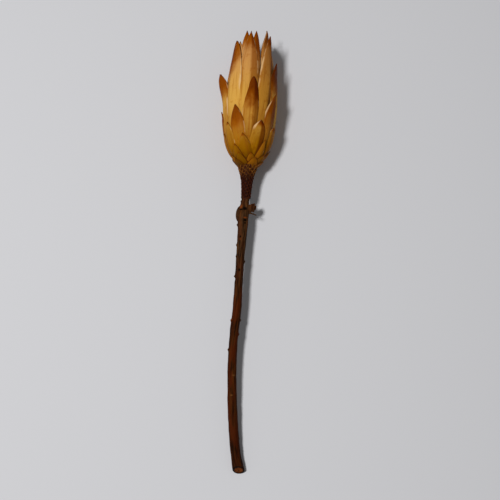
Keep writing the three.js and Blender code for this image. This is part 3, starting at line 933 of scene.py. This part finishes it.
def stem_frames():
    """Points on the stem's middle line, their distances, and the three directions at each."""
    line, distances = smooth_line(STEM_ROUTE)
    forward = np.gradient(line, axis=0)
    forward /= np.linalg.norm(forward, axis=1)[:, None]
    right = np.cross(forward, (0, 0, 1))
    right /= np.linalg.norm(right, axis=1)[:, None]
    return line, distances, right, forward, np.cross(right, forward)


def stem_places(places):
    """For each point: distance along the stem, azimuth round it and distance out from its middle line."""
    line, distances, right, forward, up = stem_frames()
    nearest = np.abs(places[:, 1:2] - line[None, :, 1]).argmin(axis=1)
    out = places - line[nearest]
    shift = np.einsum("ij,ij->i", out, forward[nearest])
    out -= shift[:, None] * forward[nearest]
    level = np.einsum("ij,ij->i", out, right[nearest])
    high = np.einsum("ij,ij->i", out, up[nearest])
    return distances[nearest] + shift, np.arctan2(high, level), np.hypot(level, high)


def near_marks(marks, distance, azimuth, radius, share=1, offset=0):
    """How near each point is to one of the marks, from 0 to 1, with the marks made smaller or moved on."""
    nearness = np.zeros_like(distance)
    for place, side, long, wide in marks:
        arc = radius * np.abs((azimuth - side * RADIANS + math.pi) % (2 * math.pi) - math.pi)
        spot = np.exp(-((distance - place - offset) / (long * share)) ** 2 - (arc / (wide * share)) ** 2)
        nearness = np.maximum(nearness, spot)
    return nearness


def cut_face(finish, fine):
    """Where the slanting cut is, and the colour of its bare wood: pith, rings and a dark rim."""
    x, y, z = finish.parts(finish.place())
    normal = cut_normal()
    inward = (y - CUT_CENTRE[1] * MM) * normal.y + (z - CUT_CENTRE[2] * MM) * normal.z
    on_cut = 1 - inward.step(FACE_DEPTH[0] * MM, FACE_DEPTH[1] * MM)
    radius = ((x - CUT_CENTRE[0] * MM) ** 2 + (z - CUT_CENTRE[2] * MM) ** 2) ** 0.5 * (1 / MM)
    mottles = finish.noise(finish.place(), scale=1300.0, detail=3.0)
    rings = (radius * 9 + fine * 5).sin() * 0.5 + 0.5
    wood = finish.blend((rings * 0.14 + mottles).step(0.42, 0.76), "#3a1603", "#98501a")
    pith = finish.blend(radius.step(*PITH_END), "#3d1e0a", wood)
    return on_cut, finish.blend((radius + mottles * 1.5).step(*FACE_RIM), pith, "#1a0b04")


def bark_finish():
    """Dry reddish brown bark, streaked along the stem, with scars, pits, raw wood, the cut's face and painted
    shade toward the cut end.
    """
    finish = Finish("dry_bark", 0.6, gloss=0.03)
    along, wrap_x, wrap_z = finish.numbers("along wrap_x wrap_z")
    streaks = finish.noise((wrap_x * 0.8, along * 0.07, wrap_z * 0.8), detail=4.0, roughness=0.65)
    patches = finish.noise((wrap_x * 0.3, along * 0.06, wrap_z * 0.3))
    fine = finish.noise((wrap_x * 3, along * 0.7, wrap_z * 3), detail=3.0, roughness=0.7)
    upper = along.step(*BARK_GREYS)
    hollow = finish.blend(upper, "#1c0800", "#1a0d04")
    crest = finish.blend(upper, "#4a2306", "#56371d")
    brown = finish.blend(streaks.step(0.36, 0.68), hollow, crest)
    reddish = finish.blend(patches.step(0.42, 0.62) * (0.7 - upper * 0.4), brown, "#4c1a02")
    flaky = finish.blend(fine.step(0.58, 0.74) * 0.45, reddish, "#6c3a10")
    dashed = finish.blend(finish.number("dash") * 0.7, flaky, "#85572c")
    ridged = finish.blend(finish.number("ridge") * 0.45, dashed, "#6e3c12")
    scarred = finish.blend(finish.number("scar").step(0.45, 0.8) * 0.85, ridged, "#130501")
    pitted = finish.blend(finish.number("pit").step(0.1, 0.8), scarred, "#0b0300")
    raw = finish.blend((finish.number("raw") * (0.5 + fine)).step(0.3, 0.9) * 0.7, pitted, "#7a360a")
    # Painted shade: the bark darkened toward the cut end, where less light falls
    shaded_toward_cut = finish.shade(raw, 0.78 + along.step(*CUT_END_SHADE_FADES) * 0.22)
    on_cut, face = cut_face(finish, fine)
    finish.bump(fine + streaks, 0.3 * MM)
    return finish.color(finish.blend(on_cut, shaded_toward_cut, face))


def bark_tree(material):
    """Wrinkles, knobs, ridges and pits on the smooth rods, from the numbers on their points."""
    sizes = {"Wrinkles": 0.5, "Knobs": 0.6, "Ridges": 0.4, "Pits": 0.75, "Scars": 0.8}
    tree = ShapeTree("bark_relief", sizes)
    along, wrap_x, wrap_z = tree.numbers("along wrap_x wrap_z")
    wrinkles = tree.noise((wrap_x * 0.9, along * 0.09, wrap_z * 0.9), detail=3.0) - 0.5
    knobs = tree.noise((wrap_x * 0.25, along * 0.14, wrap_z * 0.25)) - 0.5
    out = wrinkles * tree.size("Wrinkles") + knobs * tree.size("Knobs")
    out = out * (1 - tree.number("cut")) + tree.number("ridge") * tree.size("Ridges")
    out = out + tree.number("scar") * tree.size("Scars") - tree.number("pit") * tree.size("Pits")
    return tree.finish(tree.swell(tree.start, out), material)


def fused_stem():
    """The stem, its swelling and its splinters as one closed mesh, cut off at its end."""
    rough = grown("stem_rough", rod_tree(), strands_mesh(), place=Matrix.Identity(4))
    cut_off(rough.data)
    rough.modifiers.new("fuse", "REMESH").voxel_size = FUSE_STEP
    state = bpy.context.evaluated_depsgraph_get()
    fused = bpy.data.meshes.new_from_object(rough.evaluated_get(state), depsgraph=state)
    bpy.data.objects.remove(rough)
    return fused


def build_stem():
    fused = fused_stem()
    places = places_of(fused)
    where = distance, azimuth, radius = stem_places(places)
    from_cut = (places - np.array(CUT_CENTRE)) @ np.array(cut_normal())
    hollows = near_marks(LEAF_SCARS, *where, HOLLOW_SHARE, HOLLOW_OFFSET)
    set_numbers(fused, {
        "along": distance,
        "wrap_x": radius * np.cos(azimuth),
        "wrap_z": radius * np.sin(azimuth),
        "scar": near_marks(LEAF_SCARS, *where),
        "pit": np.maximum(near_marks(DARK_PITS, *where), hollows),
        "raw": near_marks(RAW_WOOD, *where),
        "ridge": near_marks(RIDGES, *where),
        "dash": near_marks(PALE_DASHES, *where),
        "cut": np.clip(1 - from_cut / CUT_FADE, 0, 1),
    })
    piece = grown("stem_bark", bark_tree(bark_finish()), fused)
    press_on_surface(piece)
    dress(piece, "stem")


def scale_finish():
    """Small dry scale: a dark hollow in its middle and a paler rim, darker further down the neck."""
    finish = Finish("neck_scale", 0.6, gloss=0.06)
    fine = finish.noise(finish.place(), scale=1500.0, detail=3.0)
    rim = (finish.number("rim") + fine * 0.3 - 0.15).step(0.25, 0.85)
    near_head = (finish.number("distance") + fine * 4).step(*SCALES_PALE)
    dark = finish.blend(near_head, "#240a03", "#3b1806")
    pale = finish.blend(near_head, "#4a1e0d", "#8c581e")
    finish.bump(fine, 0.2 * MM)
    return finish.color(finish.blend(rim, dark, pale))


def scale_tree(material):
    """A small scale on each point, straight along +Y: a sunk root, a raised rim and tip round a hollow."""
    sizes = {"Columns": 13, "Rows": 14, "Thickness": 0.6, "Root": 0.9, "Lift": 0.1, "Proud": 0.35, "Rim": 0.5}
    tree = ShapeTree("neck_scales", sizes)
    scales = blade(tree, crowding=1.0)
    across, along, inner = tree.numbers("across along inner")
    distance = tree.number("foot") + tree.number("length") * along
    pointed = ((1 - along).at_most(SCALE_TAPER) / SCALE_TAPER * (math.pi / 2)).sin() ** SCALE_TIP_POWER
    offset = across * tree.number("width") * pointed.at_least(SCALE_BLUNTNESS) / 2
    low, high = STEM_GIRTHS[0][0], STEM_GIRTHS[-1][0]
    pairs = [((place - low) / (high - low), girth / GIRTH_RANGE) for place, girth in STEM_GIRTHS]
    girth = tree.curve((distance - low) / (high - low), pairs) * GIRTH_RANGE
    rim = (across ** 4).at_least(abs((along - SCALE_HOLLOW) / (1 - SCALE_HOLLOW)).at_most(1) ** 3)
    sunk = tree.size("Root") * (1 - along.step(0.0, 0.45))
    lift = tree.size("Lift") + tree.size("Proud") * along + tree.size("Rim") * (rim - 0.5) - sunk
    radius = girth + lift - inner * tree.size("Thickness")
    azimuth = tree.number("azimuth") - offset / girth
    scales = tree.store(scales, {"distance": distance, "rim": rim})
    return tree.finish(tree.wrap(scales, radius, distance, azimuth), material)


def bend_on_stem(mesh):
    """Bends a shape made straight along +Y to the stem's line."""
    line, distances, right, _, up = stem_frames()
    places = places_of(mesh)
    across, along, above = places.T
    bent = np.empty_like(places)
    for axis in range(3):
        middle, level, high = (np.interp(along, distances, ways[:, axis]) for ways in (line, right, up))
        bent[:, axis] = middle + level * across + high * above
    mesh.vertices.foreach_set("co", bent.ravel())
    mesh.transform(Matrix.Scale(MM, 4))
    mesh.update()


def build_neck_scales():
    numbers = range(NECK_SCALES)
    lengths = [between(NECK_SCALE_LENGTHS, number) * spread(*SCALE_SIZES, number, 9) for number in numbers]
    widths = [between(NECK_SCALE_WIDTHS, number) * spread(*SCALE_SIZES, number, 10) for number in numbers]
    columns = {
        "foot": [between(NECK_SCALE_PLACES, number) - lengths[number] / 2 for number in numbers],
        "length": lengths,
        "width": widths,
        "azimuth": [(FIRST_AZIMUTH + GOLDEN_ANGLE * turn) * RADIANS for turn in range(-NECK_SCALES, 0)],
    }
    mesh = points_mesh("neck_scales", [(0, 0, 0)] * NECK_SCALES)
    set_numbers(mesh, columns)
    piece = grown("neck_scales", scale_tree(scale_finish()), mesh, place=Matrix.Identity(4), crease=60)
    bend_on_stem(piece.data)
    dress(piece, "stem")


def place_camera():
    data = bpy.data.cameras.new("camera")
    data.lens = LENS
    data.sensor_width = SENSOR_WIDTH
    camera = bpy.data.objects.new("camera", data)
    look = Vector((0, math.cos(CAMERA_ELEVATION * RADIANS), -math.sin(CAMERA_ELEVATION * RADIANS)))
    camera.location = CAMERA_TARGET - look * CAMERA_DISTANCE
    camera.rotation_euler = ((90 - CAMERA_ELEVATION) * RADIANS, 0, 0)
    bpy.context.scene.collection.objects.link(camera)
    bpy.context.scene.camera = camera


def place_lights():
    data = bpy.data.lights.new("key", "AREA")
    data.shape = "DISK"
    data.size = KEY_SIZE
    data.energy = KEY_POWER
    key = bpy.data.objects.new("key", data)
    level = math.cos(KEY_ELEVATION * RADIANS)
    toward = Vector((level * math.cos(KEY_AZIMUTH * RADIANS), level * math.sin(KEY_AZIMUTH * RADIANS),
                     math.sin(KEY_ELEVATION * RADIANS)))
    key.location = CAMERA_TARGET + toward * KEY_DISTANCE
    key.rotation_euler = toward.to_track_quat("Z", "Y").to_euler()
    bpy.context.scene.collection.objects.link(key)
    world = bpy.data.worlds.new("studio")
    world.use_nodes = True
    fill = world.node_tree.nodes["Background"]
    fill.inputs["Color"].default_value = (1, 1, 1, 1)
    fill.inputs["Strength"].default_value = FILL_STRENGTH
    bpy.context.scene.world = world
    bpy.context.scene.view_settings.view_transform = "Standard"


def build_floor():
    corners = [(x * FLOOR_REACH, y * FLOOR_REACH, 0) for x, y in ((-1, -1), (1, -1), (1, 1), (-1, 1))]
    floor = bpy.data.objects.new("floor", points_mesh("floor", corners, faces=[(0, 1, 2, 3)]))
    bpy.context.scene.collection.objects.link(floor)
    finish = Finish("pale_floor", 0.9)
    finish.shader.inputs["Base Color"].default_value = of_hex(FLOOR_COLOR)
    floor.data.materials.append(finish.material)


place_camera()
place_lights()
build_floor()
build_stem()
build_neck_scales()
build_cup()
build_florets()
build_bracts()
